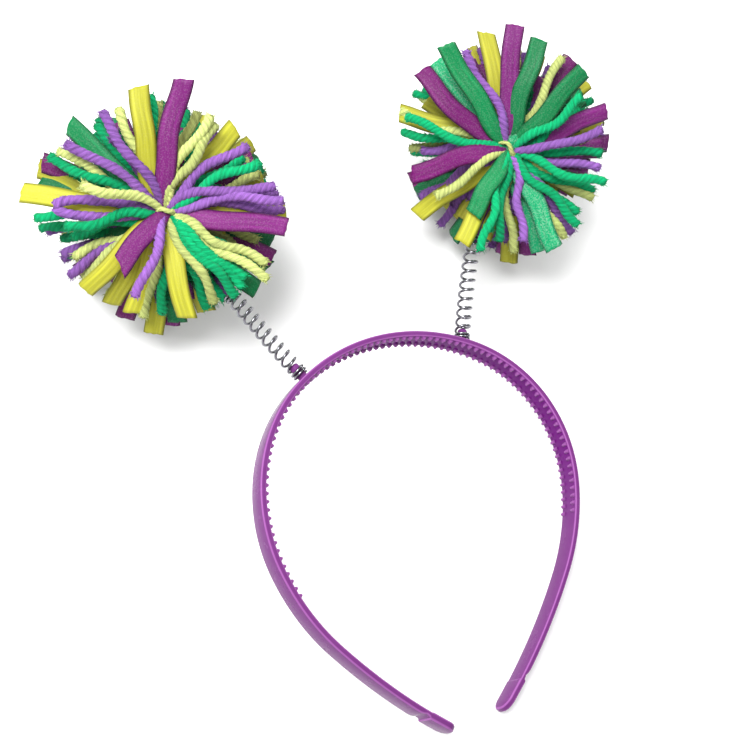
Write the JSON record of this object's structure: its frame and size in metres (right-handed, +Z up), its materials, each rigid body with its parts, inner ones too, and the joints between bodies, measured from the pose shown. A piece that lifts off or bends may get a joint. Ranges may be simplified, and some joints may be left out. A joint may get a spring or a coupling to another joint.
{
  "type": "pompom headband",
  "caption": "Springy moulded plastic hoop headband with comb teeth inside, carrying yarn and ribbon pompoms on wire springs that sway from side to side.",
  "frame": {"origin": "on the surface that the headband lies on, under the middle of its bounding box", "axes": "+Z up from the surface, +Y from the tips of the hoop towards its crown and pompoms, +X from the left pompom to the right one"},
  "size_m": [0.2042, 0.221, 0.0696],
  "materials": {
    "band_plastic": "glossy moulded purple plastic",
    "spring_wire": "bright drawn steel wire",
    "pompom_fibre": "plied yarn and satin ribbon in purple, green and yellow"
  },
  "bodies": {
    "hoop": {"band": "band_plastic", "spring_left": "spring_wire", "spring_right": "spring_wire"},
    "left_pompom": {"pompom_left": "pompom_fibre"},
    "right_pompom": {"pompom_right": "pompom_fibre"}
  },
  "joints": [
    {"name": "left_sway", "type": "hinge", "parent": "hoop", "child": "left_pompom", "pos_m": [-0.0399, 0.0262, 0.0327], "axis": [0, 0, 1], "range_deg": [-20, 20], "stiffness_Nm_per_rad": 0.038, "deforming": ["spring_left"]},
    {"name": "right_sway", "type": "hinge", "parent": "hoop", "child": "right_pompom", "pos_m": [0.036, 0.0271, 0.0251], "axis": [0, 0, 1], "range_deg": [-20, 20], "stiffness_Nm_per_rad": 0.038, "deforming": ["spring_right"]}
  ]
}
